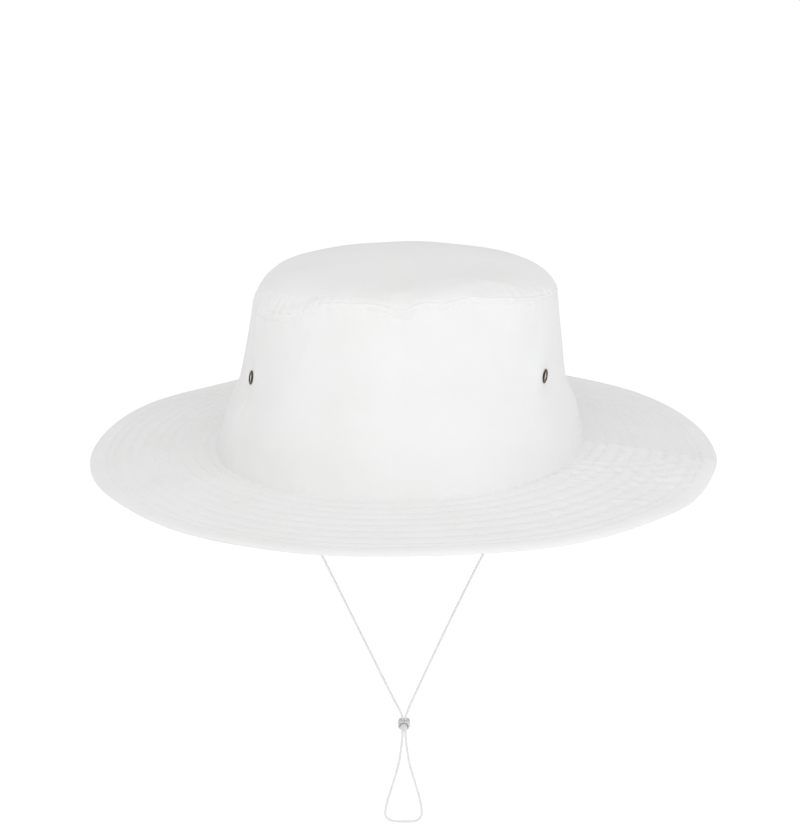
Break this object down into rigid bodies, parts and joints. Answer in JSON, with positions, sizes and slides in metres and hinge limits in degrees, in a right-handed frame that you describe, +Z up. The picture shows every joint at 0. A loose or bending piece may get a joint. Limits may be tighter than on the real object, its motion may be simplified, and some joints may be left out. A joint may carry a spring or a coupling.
{
  "type": "cricket hat with chin cord",
  "caption": "Wide-brimmed white cloth cricket hat with a flared crown, a soft shallow dome, a quilted brim, vent eyelets and a chin cord with a small cord lock.",
  "frame": {"origin": "middle of the head opening, level with the seam between crown and brim, where the hat sits on the head", "axes": "+Z up, -Y to the front of the hat as the picture shows it, +X to the picture's right"},
  "size_m": [0.3124, 0.3198, 0.3254],
  "materials": {
    "crown_cloth": "plain woven cotton, matt",
    "brim_cloth": "plain woven cotton over a firm inner layer, quilted in rows",
    "eyelet_metal": "dark gunmetal plating, satin",
    "tab_tape": "white cotton tape",
    "cord": "thin braided white cord",
    "lock_plastic": "pale grey moulded plastic, satin",
    "button_plastic": "pale grey moulded plastic, satin"
  },
  "bodies": {
    "hat": {"crown_side": "crown_cloth", "crown_tip": "crown_cloth", "brim": "brim_cloth", "eyelet_left": "eyelet_metal", "eyelet_right": "eyelet_metal", "eyelet_rear_left": "eyelet_metal", "eyelet_rear_right": "eyelet_metal", "cord_tab_left": "tab_tape", "cord_tab_right": "tab_tape", "chin_cord": "cord", "toggle_body": "lock_plastic"},
    "button": {"toggle_button": "button_plastic"}
  },
  "joints": [
    {"name": "button_press", "type": "slide", "parent": "hat", "child": "button", "axis": [0, 1, 0], "range_m": [0, 0.0015], "stiffness_N_per_m": 150}
  ]
}
